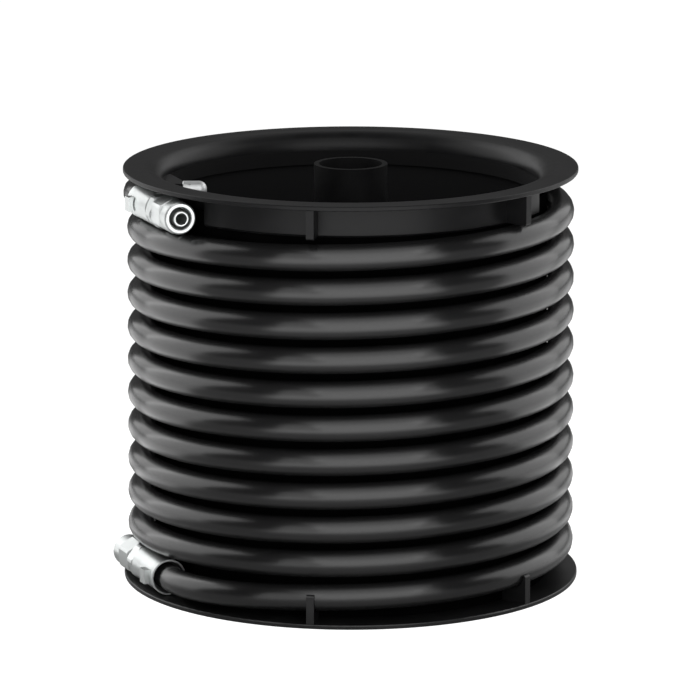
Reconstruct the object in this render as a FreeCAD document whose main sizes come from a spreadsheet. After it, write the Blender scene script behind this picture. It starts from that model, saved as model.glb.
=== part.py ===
import FreeCAD, Part
import Sketcher

import math
import os

from FreeCAD import Placement, Rotation, Vector

# A storage reel of moulded plastic with 25 ft of jetting hose wound on its open drum.
# The reel stands on its bottom flange: the hub axis is Z and z = 0 is the bottom face.
# Azimuths turn about Z from the front (-Y) towards the right (+X).

DRIVING_SIZES = {
    "top_flange_radius": 120.0,
    "bottom_flange_radius": 121.0,
    "flange_thickness": 2.4,
    "reel_height": 220.7,
    "rim_edge_round": 0.6,
    "rim_flat_width": 11.5,
    "bell_round": 9.3,
    "bell_wall": 2.0,
    "skirt_swell": 3.1,
    "skirt_wall": 2.8,
    "skirt_depth": 16.3,
    "skirt_start_azimuth": -45.0,
    "skirt_span": 112.0,
    "drum_wall": 2.0,
    "drum_end_gap": 0.1,
    "bay_inset": 4.6,
    "bay_azimuth": -70.0,
    "ledge_thickness": 2.0,
    "shelf_reach": 17.1,
    "spigot_length": 6.0,
    "spigot_gap": 0.2,
    "hub_radius": 19.4,
    "hub_bore_radius": 16.7,
    "hub_stand_proud": 0.9,
    "hub_fit_gap": 0.1,
    "hub_collar_radius": 22.5,
    "hub_collar_height": 30.0,
    "rib_thickness": 4.0,
    "rib_reach": 15.3,
    "rib_drum_gap": 1.6,
    "rib_first_azimuth": -10.0,
    "rib_tip_round": 1.2,
    "screw_inset": 9.4,
    "screw_radius": 2.0,
    "screw_length": 14.0,
    "screw_head_radius": 3.8,
    "screw_head_height": 2.0,
    "screw_boss_radius": 4.6,
    "screw_boss_length": 16.0,
    "screw_gap": 0.15,
    "hose_diameter": 13.8,
    "hose_bore": 6.4,
    "hose_gap": 0.3,
    "winding_foot_height": 15.06,
    "winding_top_margin": 27.64,
    "barrel_swell": 1.28,
    "barrel_draft": 0.8,
    "fitting_length": 64.0,
    "nut_flats": 17.0,
    "nut_corner_radius": 9.4,
    "nut_collar_radius": 8.35,
    "nut_collar_length": 9.5,
    "nut_length": 23.6,
    "nut_thread_radius": 5.72,
    "nut_thread_depth": 12.5,
    "nut_mouth_radius": 6.2,
    "nut_edge_bevel": 0.8,
    "shoulder_gap": 0.4,
    "shoulder_length": 8.0,
    "neck_radius": 4.95,
    "running_gap": 0.05,
    "nipple_radius": 4.1,
    "nipple_reach": 1.5,
    "nipple_length": 10.5,
    "nipple_bore_radius": 3.1,
    "stem_bore_radius": 2.0,
    "stem_root_radius": 2.7,
    "barb_radius": 3.1,
    "barb_step": 5.0,
    "wire_radius": 0.6,
    "wire_station": 18.0,
    "seal_radius": 0.9,
    "seal_station": 6.0,
    "ferrule_radius": 9.2,
    "ferrule_length": 22.5,
    "hose_seat": 1.0,
    "ring_radius": 9.4,
    "ring_mouth_radius": 8.6,
    "ring_mouth_depth": 4.5,
    "tab_length": 6.6,
    "tab_overlap": 2.0,
    "tab_width": 7.6,
    "tab_height": 12.0,
    "tab_lift": 0.5,
    "top_fitting_gap": 0.74,
    "top_fitting_azimuth": -71.0,
    "top_fitting_reach": 48.43,
    "top_fitting_headroom": 1.5,
    "top_fitting_rise": 1.5,
    "bottom_fitting_gap": 3.08,
    "bottom_fitting_azimuth": -68.0,
    "bottom_fitting_reach": 42.98,
    "bottom_fitting_headroom": 0.5,
    "bottom_fitting_rise": 0.0,
    "hex_roll": 28.0,
    "shoulder_roll": 8.0,
    "pocket_gap": 0.4,
    "nozzle_radius": 4.6,
    "nozzle_length": 12.5,
    "nozzle_dome": 4.1,
    "nozzle_inset": 12.1,
    "nozzle_side": -46.0,
    "nozzle_thread_radius": 3.45,
    "nozzle_thread_depth": 8.5,
    "nozzle_bore_radius": 1.6,
    "nozzle_jet_radius": 0.4,
    "nozzle_jet_tilt": 35.0,
    "nozzle_gap": 0.25,
    "nozzle_travel": 12.0,
    "holder_block_depth": 3.6,
    "holder_block_half": 3.8,
    "holder_peg_length": 7.5,
}

RIB_STEP = 60.0
RIB_NUMBERS = (0, 1, 2, 3, 4)
JET_COUNT = 4
BARB_COUNT = 4
FULL_TURN = 360.0
FRONT_PASSES = 11
LOW_PASSES = 1

doc = FreeCAD.newDocument("JettingHoseReel")
sheet = doc.addObject("Spreadsheet::Sheet", "Sizes")


class Measure:
    """A size in millimetres or degrees, with the formula that ties it to the sheet."""

    def __init__(self, value, formula):
        self.value = value
        self.formula = formula

    @staticmethod
    def of(item):
        return item if isinstance(item, Measure) else Measure(float(item), str(item))

    def joined(self, sign, other, value):
        return Measure(value, "(%s %s %s)" % (self.formula, sign, other.formula))

    def __add__(self, other):
        other = Measure.of(other)
        return self.joined("+", other, self.value + other.value)

    def __sub__(self, other):
        other = Measure.of(other)
        return self.joined("-", other, self.value - other.value)

    def __mul__(self, other):
        other = Measure.of(other)
        return self.joined("*", other, self.value * other.value)

    def __truediv__(self, other):
        other = Measure.of(other)
        return self.joined("/", other, self.value / other.value)

    def __neg__(self):
        return Measure(-self.value, "(-%s)" % self.formula)


def fill_sheet():
    """Write each driving size as a cell with its name beside it."""
    for row, (name, value) in enumerate(DRIVING_SIZES.items(), start=1):
        sheet.set("A%d" % row, name)
        sheet.set("B%d" % row, str(value))
        sheet.setAlias("B%d" % row, name)
    doc.recompute()


def size(name):
    """The measure of a cell of the sheet."""
    return Measure(float(sheet.get(name)), "Sizes.%s" % name)


def bind(item, path, measure):
    """Tie a property of an object to a measure."""
    item.setExpression(path, Measure.of(measure).formula)


def origin_plane(body, role):
    """One of a body's own origin planes, such as XY_Plane."""
    return next(item for item in body.Origin.OriginFeatures if item.Role == role)


def arc_centre(start, end, radius, clockwise):
    """Centre of the arc of this radius from start to end, seen with x right and y up."""
    middle = (start + end) * 0.5
    chord = end - start
    height = math.sqrt(max(radius * radius - chord.Length * chord.Length / 4.0, 0.0))
    normal = Vector(-chord.y, chord.x, 0).normalize()
    return middle - normal * height if clockwise else middle + normal * height


def draw_outline(sketch, points):
    """Draw a closed outline and tie each corner, and each arc's radius, to the sheet.

    Each point is (across, up) or (across, up, radius, clockwise), where the last two
    make the edge that arrives at the point an arc.
    """
    corners = [Vector(Measure.of(p[0]).value, Measure.of(p[1]).value, 0) for p in points]
    for number, point in enumerate(points):
        start, end = corners[number - 1], corners[number]
        if len(point) == 2:
            sketch.addGeometry(Part.LineSegment(start, end), False)
            continue
        radius, clockwise = Measure.of(point[2]), point[3]
        centre = arc_centre(start, end, radius.value, clockwise)
        circle = Part.Circle(centre, Vector(0, 0, 1), radius.value)
        first, last = (end, start) if clockwise else (start, end)
        span = [math.atan2(p.y - centre.y, p.x - centre.x) for p in (first, last)]
        sketch.addGeometry(Part.ArcOfCircle(circle, span[0], span[1]), False)
    for number, point in enumerate(points):
        following = (number + 1) % len(points)
        here = end_mark(point)
        sketch.addConstraint(
            Sketcher.Constraint("Coincident", number, here, following, start_mark(points[following]))
        )
        tie_corner(sketch, number, here, point)
        if len(point) == 4:
            tie_radius(sketch, number, point[2])


def end_mark(point):
    """Which end of its edge an outline's point is: an arc is stored anticlockwise."""
    return 1 if len(point) == 4 and point[3] else 2


def start_mark(point):
    return 2 if len(point) == 4 and point[3] else 1


def tie_corner(sketch, edge, mark, point):
    """Tie both coordinates of a corner to their measures."""
    for kind, axis, item in (("DistanceX", -2, point[0]), ("DistanceY", -1, point[1])):
        measure = Measure.of(item)
        if measure.value == 0.0:
            sketch.addConstraint(Sketcher.Constraint("PointOnObject", edge, mark, axis))
            continue
        index = sketch.addConstraint(
            Sketcher.Constraint(kind, -1, 1, edge, mark, measure.value)
        )
        bind(sketch, "Constraints[%d]" % index, measure)


def tie_radius(sketch, edge, measure):
    index = sketch.addConstraint(Sketcher.Constraint("Radius", edge, Measure.of(measure).value))
    bind(sketch, "Constraints[%d]" % index, measure)


def new_sketch(body, role, name):
    sketch = body.newObject("Sketcher::SketchObject", name)
    sketch.AttachmentSupport = (origin_plane(body, role), [""])
    sketch.MapMode = "FlatFace"
    return sketch


def turned(name, points, span=FULL_TURN):
    """A body that is turned about Z from an outline in radius and height."""
    body = doc.addObject("PartDesign::Body", name)
    sketch = new_sketch(body, "XZ_Plane", name + "_outline")
    draw_outline(sketch, points)
    turn = body.newObject("PartDesign::Revolution", name + "_turn")
    turn.Profile = sketch
    turn.ReferenceAxis = (sketch, ["V_Axis"])
    if isinstance(span, Measure):
        bind(turn, "Angle", span)
    else:
        turn.Angle = span
    sketch.Visibility = False
    doc.recompute()
    return body


def round_circles(body, radius, places):
    """Round the circular edges at the given (radius, height) places of a turned body."""
    base = body.Tip
    names = []
    for number, edge in enumerate(base.Shape.Edges, start=1):
        curve = edge.Curve
        if not isinstance(curve, Part.Circle):
            continue
        for across, up in places:
            if abs(curve.Radius - across.value) < 0.01 and abs(curve.Center.z - up.value) < 0.01:
                names.append("Edge%d" % number)
    fillet = body.newObject("PartDesign::Fillet", body.Name + "_round")
    fillet.Base = (base, names)
    bind(fillet, "Radius", radius)
    doc.recompute()


def cylinder(name, radius, height, low=None, angle=None):
    """A plain cylinder on Z whose foot is at the height low."""
    item = doc.addObject("Part::Cylinder", name)
    bind(item, "Radius", radius)
    bind(item, "Height", height)
    if low is not None:
        bind(item, ".Placement.Base.z", low)
    if angle is not None:
        bind(item, "Angle", angle)
    return item


def box(name, length, width, height, corner):
    """A box whose sizes and lowest corner are measures."""
    item = doc.addObject("Part::Box", name)
    for path, measure in (("Length", length), ("Width", width), ("Height", height)):
        bind(item, path, measure)
    for path, measure in zip("xyz", corner):
        bind(item, ".Placement.Base." + path, measure)
    return item


def cut(name, base, tool):
    item = doc.addObject("Part::Cut", name)
    item.Base, item.Tool = base, tool
    return item


def common(name, first, second):
    item = doc.addObject("Part::MultiCommon", name)
    item.Shapes = [first, second]
    return item


def fuse(name, pieces):
    item = doc.addObject("Part::MultiFuse", name)
    item.Shapes = pieces
    return item


def shape_feature(name, shape):
    item = doc.addObject("Part::Feature", name)
    item.Shape = shape
    return item


def spin_about_z(item, degrees):
    """Turn an object that was built towards +X to an azimuth measured from the front."""
    base = item.Placement.Base
    item.Placement = Placement(base, Rotation(Vector(0, 0, 1), degrees))


def azimuth_direction(degrees):
    """Unit vector away from the hub at an azimuth measured from the front."""
    angle = math.radians(degrees)
    return Vector(math.sin(angle), -math.cos(angle), 0)


def turn_angle(azimuth):
    """Rotation about Z that carries +X to an azimuth measured from the front."""
    return azimuth - 90.0


def rim_underside():
    return size("reel_height") - size("flange_thickness")


def bell_mouth_radius():
    return size("top_flange_radius") - size("rim_flat_width")


def bell_edge_radius():
    return bell_mouth_radius() - size("bell_round")


def bell_edge_height():
    return size("reel_height") - size("bell_round")


def ledge_underside():
    return bell_edge_height() - size("ledge_thickness")


def spigot_foot():
    return ledge_underside() - size("spigot_length")


def drum_radius():
    """The drum's outside, which takes the flange's spigot with a gap."""
    return bell_edge_radius() + size("bell_wall") + size("spigot_gap") + size("drum_wall")


def bay_distance():
    """Distance of the drum's flat bay from the hub axis."""
    return drum_radius() - size("bay_inset")


def bay_room_distance():
    """Distance of the flat inside which the flange's spigot stays clear of the drum's flat."""
    return bay_distance() - size("drum_wall") - size("spigot_gap")


def screw_circle_radius():
    return drum_radius() - size("screw_inset")


def winding_radius(azimuth):
    """Distance of the hose's centre line from the hub axis, which follows the barrel's draft."""
    foot = drum_radius() + size("hose_gap") + size("hose_diameter") / 2 + size("barrel_swell")
    passes = azimuth / FULL_TURN + LOW_PASSES
    return foot - size("barrel_draft") * (passes / (FRONT_PASSES - 1))


def winding_pitch():
    """Rise of one turn, which spreads the turns over the reel's height."""
    rise = size("reel_height") - size("winding_top_margin") - size("winding_foot_height")
    return rise / (FRONT_PASSES - 1)


def winding_height(azimuth):
    """Height of the hose's centre line on the drum at an unwound azimuth."""
    return size("winding_foot_height") + winding_pitch() * (azimuth / FULL_TURN + LOW_PASSES)


# Reel


def rib_azimuths():
    first = size("rib_first_azimuth").value
    return [first + RIB_STEP * number for number in RIB_NUMBERS]


def hose_points(path):
    """Points along the hose's centre line, close enough to measure on."""
    points = []
    for edge in path.OrderedEdges:
        points += edge.discretize(max(2, int(edge.Length)))[:-1]
    return points


def hose_crossing(points, azimuth, height):
    """Where the hose passes an azimuth nearest to a height: distance from the hub and height."""
    along = azimuth_direction(azimuth)
    across = Vector(-along.y, along.x, 0)
    found = []
    for before, after in zip(points, points[1:]):
        sides = before.dot(across), after.dot(across)
        if sides[0] * sides[1] > 0 or before.dot(along) < 0:
            continue
        place = before + (after - before) * (sides[0] / (sides[0] - sides[1]))
        found.append((place.dot(along), place.z))
    return min(found, key=lambda item: abs(item[1] - height))


def rib(name, azimuth, low, high, points, tip_up):
    """A radial fin that carries the hose in a saddle and keeps it off the rim."""
    rim = size("bottom_flange_radius") if tip_up else size("top_flange_radius")
    outer = rim - size("rim_edge_round")
    inner = drum_radius() + size("rib_drum_gap")
    body = doc.addObject("PartDesign::Body", name)
    sketch = new_sketch(body, "XZ_Plane", name + "_outline")
    draw_outline(sketch, [(inner, low), (outer, low), (outer, high), (inner, high)])
    pad = body.newObject("PartDesign::Pad", name + "_pad")
    pad.Profile = sketch
    pad.Midplane = True
    bind(pad, "Length", size("rib_thickness"))
    doc.recompute()
    tip = high if tip_up else low
    round_tip(body, outer, tip)
    reach = (size("hose_diameter") / 2 + size("hose_gap")).value
    distance, height = hose_crossing(points, azimuth, tip.value)
    if low.value < height + reach and height - reach < high.value:
        cut_saddle(body, distance, height)
    spin_about_z(body, turn_angle(azimuth))
    return body


def round_tip(body, outer, tip_height):
    """Round the outer corner of a rib's free end."""
    base = body.Tip
    names = []
    for number, edge in enumerate(base.Shape.Edges, start=1):
        ends = [vertex.Point for vertex in edge.Vertexes]
        if all(abs(p.x - outer.value) < 0.01 and abs(p.z - tip_height.value) < 0.01 for p in ends):
            names.append("Edge%d" % number)
    fillet = body.newObject("PartDesign::Fillet", body.Name + "_tip")
    fillet.Base = (base, names)
    bind(fillet, "Radius", size("rib_tip_round"))
    doc.recompute()


def cut_saddle(body, distance, height):
    """Hollow a rib where the hose lies in it."""
    saddle_radius = size("hose_diameter") / 2 + size("hose_gap")
    sketch = new_sketch(body, "XZ_Plane", body.Name + "_saddle")
    centre = Vector(distance, height, 0)
    sketch.addGeometry(Part.Circle(centre, Vector(0, 0, 1), saddle_radius.value), False)
    for kind, value in (("DistanceX", distance), ("DistanceY", height)):
        sketch.addConstraint(Sketcher.Constraint(kind, -1, 1, 0, 3, value))
    tie_radius(sketch, 0, saddle_radius)
    pocket = body.newObject("PartDesign::Pocket", body.Name + "_hollow")
    pocket.Profile = sketch
    pocket.Type = "ThroughAll"
    pocket.Midplane = True
    doc.recompute()


def half_space(name, distance, depth, low, height):
    """A block that begins at a distance from the hub axis on the fitting bay's side."""
    block = doc.addObject("Part::Box", name)
    width = drum_radius() * 2
    bind(block, "Length", depth)
    bind(block, "Width", width)
    bind(block, "Height", height)
    turn = Rotation(Vector(0, 0, 1), turn_angle(size("bay_azimuth").value))
    corner = turn.multVec(Vector(distance.value, -width.value / 2, low.value))
    block.Placement = Placement(corner, turn)
    return block


def drum_barrel(low):
    """Thicker part of the drum's wall under the hose, which narrows a little towards the top."""
    middle = drum_radius() - size("drum_wall") / 2
    foot = drum_radius() + size("barrel_swell")
    top = spigot_foot() - size("spigot_length")
    return turned("drum_barrel", [
        (middle, low),
        (foot, low),
        (foot - size("barrel_draft"), top),
        (middle, top),
    ])


def make_drum():
    """Round drum wall with one flat bay where the stiff fittings lie."""
    low = size("flange_thickness")
    height = ledge_underside() - low - size("drum_end_gap")
    shell = []
    for part, inset in (("outside", Measure.of(0)), ("inside", size("drum_wall"))):
        round_wall = cylinder("drum_%s_round" % part, drum_radius() - inset, height, low)
        if part == "outside":
            round_wall = fuse("drum_outside_full", [round_wall, drum_barrel(low)])
        beyond = half_space(
            "drum_%s_beyond" % part, bay_distance() - inset, drum_radius(), low, height
        )
        shell.append(cut("drum_" + part, round_wall, beyond))
    wall = cut("drum_wall_shape", shell[0], shell[1])
    pieces = [wall]
    for number, azimuth in enumerate(rib_azimuths()):
        pieces.append(screw_boss(number, azimuth, low))
    return cut("drum_core", fuse("drum_with_bosses", pieces), screw_tools("drum_pilot", low))


def place_on_screw_circle(item, azimuth, height):
    item.Placement = Placement(
        azimuth_direction(azimuth) * screw_circle_radius().value + Vector(0, 0, height),
        Rotation(Vector(0, 0, 1), turn_angle(azimuth)),
    )


def screw_boss(number, azimuth, low):
    """A boss that joins the drum's inner face, where a flange screw bites."""
    post = cylinder("boss_%d_post" % number, size("screw_boss_radius"), size("screw_boss_length"))
    web = doc.addObject("Part::Box", "boss_%d_web" % number)
    bind(web, "Length", drum_radius() - screw_circle_radius() - size("drum_wall") / 2)
    bind(web, "Width", size("screw_boss_radius"))
    bind(web, "Height", size("screw_boss_length"))
    boss = fuse("boss_%d" % number, [post, web])
    web.Placement = Placement(Vector(0, -size("screw_boss_radius").value / 2, 0), Rotation())
    place_on_screw_circle(boss, azimuth, low.value)
    return boss


def screw_tools(name, low):
    """Pilot holes for the flange screws."""
    tools = []
    depth = size("screw_length") - size("flange_thickness") + size("screw_gap")
    for number, azimuth in enumerate(rib_azimuths()):
        tool = cylinder(
            "%s_%d" % (name, number), size("screw_radius") + size("screw_gap") / 2, depth
        )
        place_on_screw_circle(tool, azimuth, low.value)
        tools.append(tool)
    return fuse(name, tools)


def make_top_flange(points):
    """Flat rim that rolls over into the open drum, with its skirt, ribs and nozzle holder."""
    top, under = size("reel_height"), rim_underside()
    bell = size("bell_round")
    outer_bell = bell - size("bell_wall")
    edge, edge_height = bell_edge_radius(), bell_edge_height()
    outer_edge = edge + size("bell_wall")
    rim = size("top_flange_radius")
    flange = turned("top_bell", [
        (edge, spigot_foot()),
        (outer_edge, spigot_foot()),
        (outer_edge, edge_height),
        (bell_meets_rim(outer_bell, under - edge_height), under, outer_bell, True),
        (rim, under),
        (rim, top),
        (bell_mouth_radius(), top),
        (edge, edge_height, bell, False),
    ])
    round_circles(flange, size("rim_edge_round"), [(rim, top), (rim, under)])
    low = under - size("rib_reach")
    pieces = [clear_of_bay(flange), bay_floor(), make_skirt(), nozzle_block()]
    for number, azimuth in enumerate(rib_azimuths()):
        pieces.append(rib("top_rib_%d" % number, azimuth, low, under, points, False))
    body = fuse("top_flange_solid", pieces)
    roomy = cut("top_flange_with_rooms", body, fuse("top_rooms", [pocket_tool(), nozzle_room()]))
    return fuse("top_flange", [roomy, nozzle_peg()])


def bell_meets_rim(radius, rise):
    """Radius at which the bell's underside reaches the flat rim's underside."""
    mouth = bell_mouth_radius()
    value = mouth.value - math.sqrt(radius.value ** 2 - rise.value ** 2)
    formula = "(%s - sqrt(%s * %s - %s * %s))" % (
        mouth.formula, radius.formula, radius.formula, rise.formula, rise.formula
    )
    return Measure(value, formula)


def clear_of_bay(flange):
    """The turned flange without its spigot behind the drum's flat bay."""
    low = spigot_foot()
    beyond = half_space(
        "spigot_beyond", bay_room_distance(), drum_radius(), low, ledge_underside() - low
    )
    return cut("top_bell_clear", flange, beyond)


def bay_floor():
    """Flat shelf across the bay and the wall below it, inside the drum's flat."""
    low = spigot_foot()
    height = bell_edge_height() - low
    depth = drum_radius()
    inner = bay_room_distance() - size("bell_wall")
    wall = half_space("bay_wall", inner, depth, low, height)
    shelf = half_space(
        "bay_shelf", bay_distance() - size("shelf_reach"), depth, ledge_underside(),
        size("ledge_thickness")
    )
    limit = cylinder("bay_limit", bell_edge_radius() + size("bell_wall") / 2, height, low)
    below = half_space("bay_below", bay_room_distance(), depth, low, ledge_underside() - low)
    return cut("bay_floor", common("bay_segment", fuse("bay_whole", [wall, shelf]), limit), below)


def make_skirt():
    """Bulged collar under the front and right of the rim, above the last turn."""
    under = rim_underside()
    bulge = drum_radius() + size("skirt_swell")
    inner = bulge - size("skirt_wall")
    low = under - size("skirt_depth")
    tuck = size("skirt_wall") / 2
    body = turned("top_skirt", [
        (inner, low),
        (bulge - tuck, low),
        (bulge, low + tuck, size("skirt_wall"), False),
        (bulge, under),
        (inner, under),
    ], size("skirt_span"))
    spin_about_z(body, turn_angle(size("skirt_start_azimuth").value))
    return body


def make_bottom_flange(points):
    """Flat flange on which the reel stands, with its ribs, hub collar and screw holes."""
    top = size("flange_thickness")
    rim = size("bottom_flange_radius")
    hole = size("hub_radius") + size("hub_fit_gap")
    collar_top = top + size("hub_collar_height")
    disc = turned("bottom_disc", [
        (hole, Measure.of(0)),
        (rim, Measure.of(0)),
        (rim, top),
        (size("hub_collar_radius"), top),
        (size("hub_collar_radius"), collar_top),
        (hole, collar_top),
    ])
    round_circles(disc, size("rim_edge_round"), [(rim, Measure.of(0)), (rim, top)])
    pieces = [disc]
    high = top + size("rib_reach")
    for number, azimuth in enumerate(rib_azimuths()):
        pieces.append(rib("bottom_rib_%d" % number, azimuth, top, high, points, True))
    body = fuse("bottom_flange_solid", pieces)
    return cut("bottom_flange", body, countersinks())


def screw_outline(gap):
    """Half outline of a countersunk screw, grown by a gap."""
    shank, head = size("screw_radius") + gap, size("screw_head_radius") + gap
    return shank, head


def countersinks():
    tools = []
    for number, azimuth in enumerate(rib_azimuths()):
        shank, head = screw_outline(size("screw_gap"))
        hole = cylinder("sink_%d_hole" % number, shank, size("flange_thickness"))
        cone = doc.addObject("Part::Cone", "sink_%d_cone" % number)
        bind(cone, "Radius1", head)
        bind(cone, "Radius2", shank)
        bind(cone, "Height", size("screw_head_height"))
        tool = fuse("sink_%d" % number, [hole, cone])
        place_on_screw_circle(tool, azimuth, 0.0)
        tools.append(tool)
    return fuse("sinks", tools)


def make_screws():
    """Countersunk screws that hold the bottom flange to the drum."""
    screws = []
    for number, azimuth in enumerate(rib_azimuths()):
        shank = cylinder("screw_%d_shank" % number, size("screw_radius"), size("screw_length"))
        cone = doc.addObject("Part::Cone", "screw_%d_head" % number)
        bind(cone, "Radius1", size("screw_head_radius"))
        bind(cone, "Radius2", size("screw_radius"))
        bind(cone, "Height", size("screw_head_height"))
        screw = fuse("screw_%d" % number, [shank, cone])
        place_on_screw_circle(screw, azimuth, size("screw_gap").value)
        screws.append(screw)
    group = doc.addObject("Part::Compound", "flange_screws")
    group.Links = screws
    return group


def make_hub_tube():
    """Tube through both flanges: the bore takes the axle of a stand."""
    height = size("reel_height") + size("hub_stand_proud")
    return turned("hub_tube", [
        (size("hub_bore_radius"), Measure.of(0)),
        (size("hub_radius"), Measure.of(0)),
        (size("hub_radius"), height),
        (size("hub_bore_radius"), height),
    ])


# Fittings


def fitting_height(end):
    """Height of a fitting's face, clear of the flange beside it."""
    room = size("ring_radius") + size(end + "_fitting_headroom")
    return rim_underside() - room if end == "top" else size("flange_thickness") + room


class Fitting:
    """Where one end fitting lies: its nose points along the axis, away from the hose."""

    def __init__(self, end):
        self.end = end
        distance = (bay_distance() + size("ring_radius") + size(end + "_fitting_gap")).value
        outward = azimuth_direction(size(end + "_fitting_azimuth").value)
        along = Vector(-outward.y, outward.x, 0) * (1.0 if end == "top" else -1.0)
        rise = math.radians(size(end + "_fitting_rise").value)
        self.nose = along * math.cos(rise) + Vector(0, 0, math.sin(rise))
        self.outward = outward
        height = fitting_height(end).value
        reach = size(end + "_fitting_reach").value
        self.face = outward * distance + along * reach + Vector(0, 0, height)

    def station(self, distance):
        """The point on the axis this far behind the nut's face."""
        return self.face - self.nose * distance

    def placement(self, roll=0.0):
        """Carries local +Z to the nose and local +X to the side away from the drum."""
        side = self.outward
        third = self.nose.cross(side)
        turn = Rotation(side, third, self.nose, "ZXY")
        return Placement(self.face, turn.multiply(Rotation(Vector(0, 0, 1), roll)))


def hexagon(name, low, height, roll):
    """A hexagon bar across the nut's flats, turned by a roll about its own axis."""
    prism = doc.addObject("Part::Prism", name)
    prism.Polygon = 6
    bind(prism, "Circumradius", Measure(
        size("nut_flats").value / math.sqrt(3), "(Sizes.nut_flats / sqrt(3))"
    ))
    bind(prism, "Height", height)
    prism.Placement = Placement(Vector(0, 0, low.value), Rotation(Vector(0, 0, 1), roll))
    return prism


def make_nut(fitting):
    """Swivel nut: a hexagon behind a round collar, threaded at the face."""
    end = fitting.end
    back = -size("nut_length")
    collar_back = -size("nut_collar_length")
    bevel = size("nut_edge_bevel")
    collar, corner = size("nut_collar_radius"), size("nut_corner_radius")
    thread, mouth = size("nut_thread_radius"), size("nut_mouth_radius")
    rear = size("neck_radius") + size("running_gap")
    thread_back = -size("nut_thread_depth")
    groove = size("wire_radius") + size("running_gap")
    wire = -size("wire_station")
    blank = turned(end + "_nut_blank", [
        (rear, back),
        (corner - bevel, back),
        (corner, back + bevel),
        (corner, collar_back - bevel),
        (collar, collar_back),
        (collar, -bevel),
        (collar - bevel, Measure.of(0)),
        (mouth, Measure.of(0)),
        (thread, thread - mouth),
        (thread, thread_back),
        (rear, thread_back),
        (rear, wire + groove),
        (rear, wire - groove, groove, True),
    ])
    bar = hexagon(end + "_nut_bar", back, size("nut_length"), size("hex_roll").value)
    nut = common(end + "_swivel_nut", blank, bar)
    nut.Placement = fitting.placement()
    return nut


def make_tail(fitting):
    """Hose tail: nose nipple, neck, hexagon shoulder and barbed stem in one piece."""
    end = fitting.end
    tip = size("nipple_reach")
    nipple, neck = size("nipple_radius"), size("neck_radius")
    step = -size("nipple_length")
    shoulder = -(size("nut_length") + size("shoulder_gap"))
    shoulder_back = shoulder - size("shoulder_length")
    seat = shoulder_back - size("hose_seat")
    seat_radius = size("hose_diameter") / 2 - size("hose_gap")
    bevel = size("nut_edge_bevel")
    corner = size("nut_corner_radius")
    groove = size("wire_radius") + size("running_gap")
    wire = -size("wire_station")
    seal = -size("seal_station")
    seal_half = size("seal_radius") + size("running_gap")
    outline = [
        (size("nipple_bore_radius"), tip),
        (size("nipple_bore_radius"), shoulder),
        (size("stem_bore_radius"), shoulder - bevel),
        (size("stem_bore_radius"), seat - size("barb_step") * BARB_COUNT),
    ]
    barb, root = size("barb_radius"), size("stem_root_radius")
    for number in reversed(range(BARB_COUNT)):
        low = seat - size("barb_step") * (number + 1)
        outline += [(root, low), (barb, low + size("barb_step") * 0.8)]
        if number:
            outline.append((barb, low + size("barb_step") * 0.9))
            outline.append((root, low + size("barb_step") * 0.95))
    outline += [
        (barb, seat),
        (seat_radius, seat),
        (seat_radius, shoulder_back),
        (corner - bevel, shoulder_back),
        (corner, shoulder_back + bevel),
        (corner, shoulder - bevel),
        (corner - bevel, shoulder),
        (neck, shoulder),
        (neck, wire - groove),
        (neck, wire + groove, groove, True),
        (neck, step),
        (nipple, step + bevel),
        (nipple, seal - seal_half),
        (nipple - seal_half, seal - seal_half),
        (nipple - seal_half, seal + seal_half),
        (nipple, seal + seal_half),
        (nipple, tip - bevel / 2),
        (nipple - bevel / 2, tip),
    ]
    blank = turned(end + "_tail_blank", outline)
    length = tip - (seat - size("barb_step") * BARB_COUNT)
    bar = hexagon(end + "_tail_bar", seat - size("barb_step") * BARB_COUNT, length,
                  size("shoulder_roll").value)
    tail = common(end + "_hose_tail", blank, bar)
    tail.Placement = fitting.placement()
    return tail


def ring_of_wire(fitting, name, major, minor, station):
    torus = doc.addObject("Part::Torus", name)
    bind(torus, "Radius1", major)
    bind(torus, "Radius2", minor)
    place = fitting.placement()
    place.Base = fitting.station(station.value)
    torus.Placement = place
    return torus


def make_ferrule(fitting):
    """Plain barrel that backs the hose over the barbs."""
    front = -(size("nut_length") + size("shoulder_gap") + size("shoulder_length"))
    back = front - size("ferrule_length")
    bore = size("hose_diameter") / 2 + size("running_gap")
    bevel = size("nut_edge_bevel") / 2
    outer = size("ferrule_radius")
    body = turned(fitting.end + "_ferrule", [
        (bore, back),
        (outer, back),
        (outer, front - bevel),
        (outer - bevel, front),
        (bore, front),
    ])
    body.Placement = fitting.placement()
    return body


def make_ring(fitting):
    """Clamp ring at the hose's mouth, with the locking tab that reaches over the ferrule."""
    end = fitting.end
    ferrule_back = -(
        size("nut_length") + size("shoulder_gap") + size("shoulder_length") + size("ferrule_length")
    )
    back = -size("fitting_length")
    bore = size("hose_diameter") / 2 + size("running_gap")
    ring = turned(end + "_ring_band", [
        (bore, ferrule_back),
        (bore, back + size("ring_mouth_depth")),
        (size("ring_mouth_radius"), back),
        (size("ring_radius"), back),
        (size("ferrule_radius"), back + size("ring_mouth_depth")),
        (size("ferrule_radius"), ferrule_back),
    ])
    width, length = size("tab_width"), size("tab_length")
    root = size("ring_mouth_radius")
    tab = box(end + "_ring_tab_block", size("tab_height") - root, width, length,
              (root, -width / 2, ferrule_back + size("tab_overlap") - length))
    clear = size("ferrule_radius") + size("tab_lift")
    relief = cylinder(end + "_ring_relief", clear, size("ferrule_length"), ferrule_back)
    collar = cut(end + "_ring_tab", tab, relief)
    body = fuse(end + "_clamp_ring", [ring, collar])
    body.Placement = fitting.placement()
    return body


def pocket_tool():
    """Room for the top fitting under the flange, with a gap all round."""
    fitting = Fitting("top")
    tool = cylinder("pocket_room", size("ring_radius") + size("pocket_gap"),
                    size("fitting_length") * 1.5)
    place = fitting.placement()
    place.Base = fitting.station(size("fitting_length").value * 1.25)
    tool.Placement = place
    return tool


# Nozzle


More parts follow.
